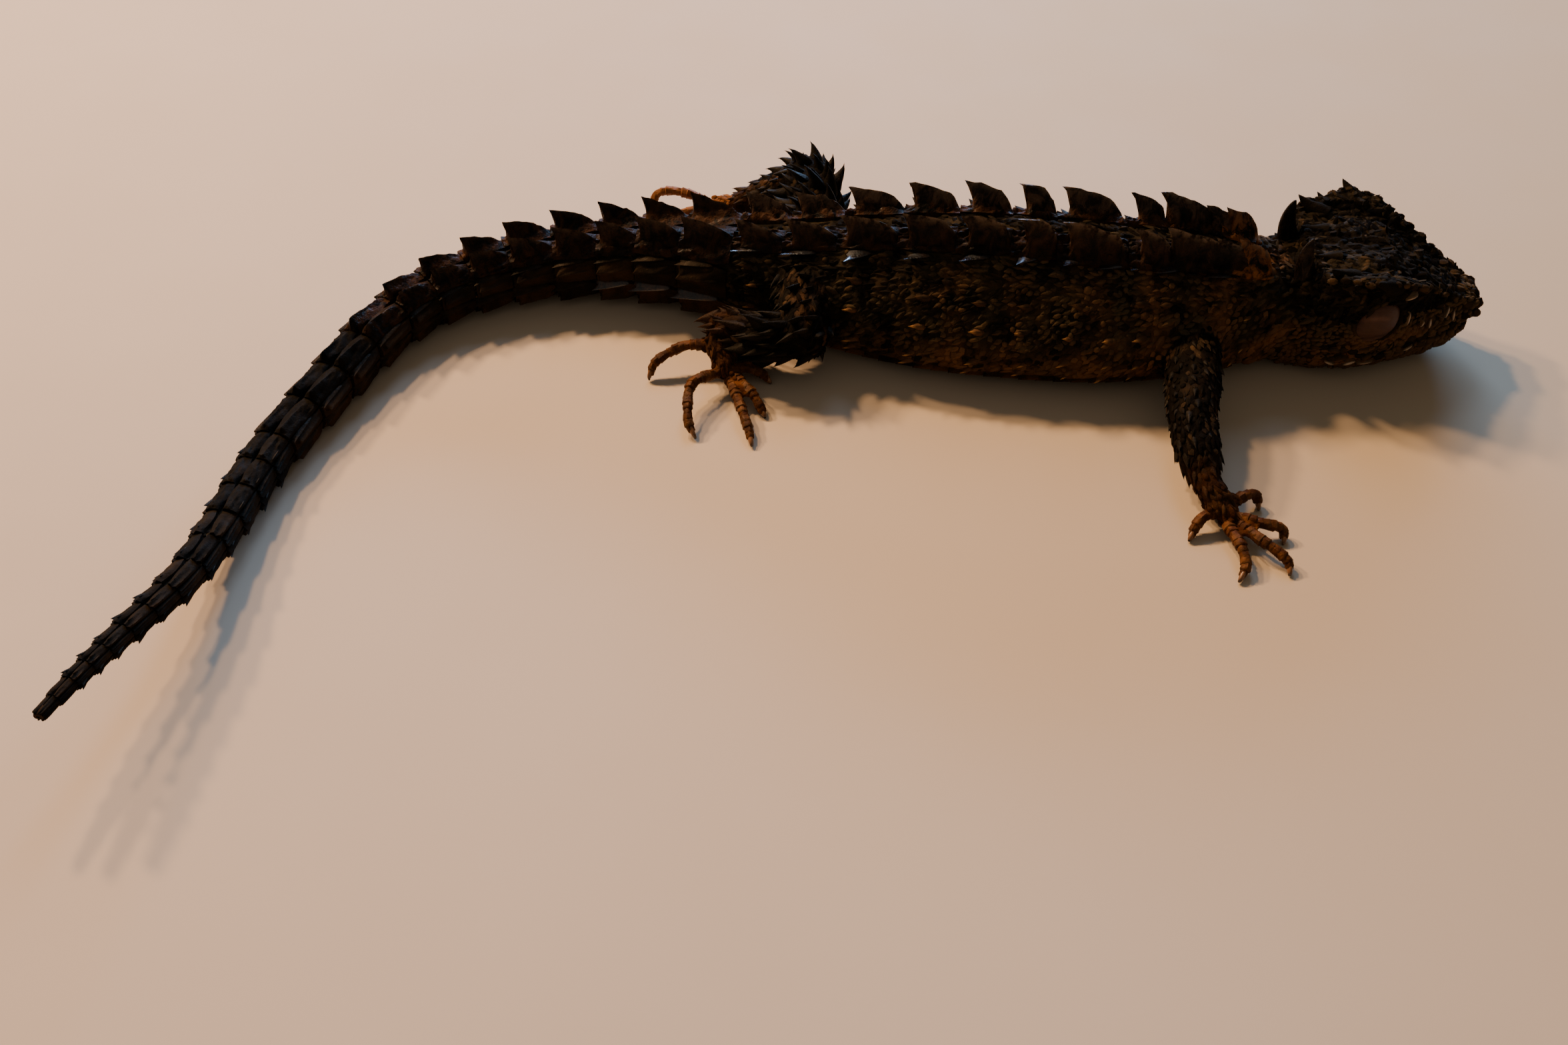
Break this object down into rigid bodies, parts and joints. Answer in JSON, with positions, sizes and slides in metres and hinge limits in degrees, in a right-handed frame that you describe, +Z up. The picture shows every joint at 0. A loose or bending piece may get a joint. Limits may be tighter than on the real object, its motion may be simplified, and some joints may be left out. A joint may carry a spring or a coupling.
{
  "type": "white-eyed crocodile skink model",
  "caption": "Life-size still model of a spiny dark-brown lizard with a helmet-like head, two rows of back fins and a long ringed tail, lying on its belly.",
  "frame": {"origin": "floor point under the middle of the whole model's box", "axes": "+X towards the head, along the longest side; +Y to the animal's left; +Z up, the shortest side"},
  "size_m": [0.1586, 0.098, 0.02],
  "materials": {
    "dark_scales": "dry horny scales, near-black brown with rusty flanks, glossy on the fins",
    "amber_feet": "ringed amber-brown skin with dark claws",
    "eye": "smooth dull pinkish-mauve eyelid skin",
    "horn": "glossy black horn of the fins, neck shields and claws"
  },
  "bodies": {
    "root": {"head": "dark_scales", "eye_left": "eye", "eye_right": "eye", "neck": "dark_scales", "torso": "dark_scales", "pelvis": "dark_scales", "tail_base": "dark_scales", "tail_middle": "dark_scales", "tail_end": "dark_scales", "upper_arm_right": "dark_scales", "forearm_right": "dark_scales", "hand_right": "amber_feet", "upper_arm_left": "dark_scales", "forearm_left": "dark_scales", "hand_left": "amber_feet", "thigh_right": "dark_scales", "shin_right": "dark_scales", "foot_right": "amber_feet", "thigh_left": "dark_scales", "shin_left": "dark_scales", "foot_left": "amber_feet"}
  },
  "joints": []
}
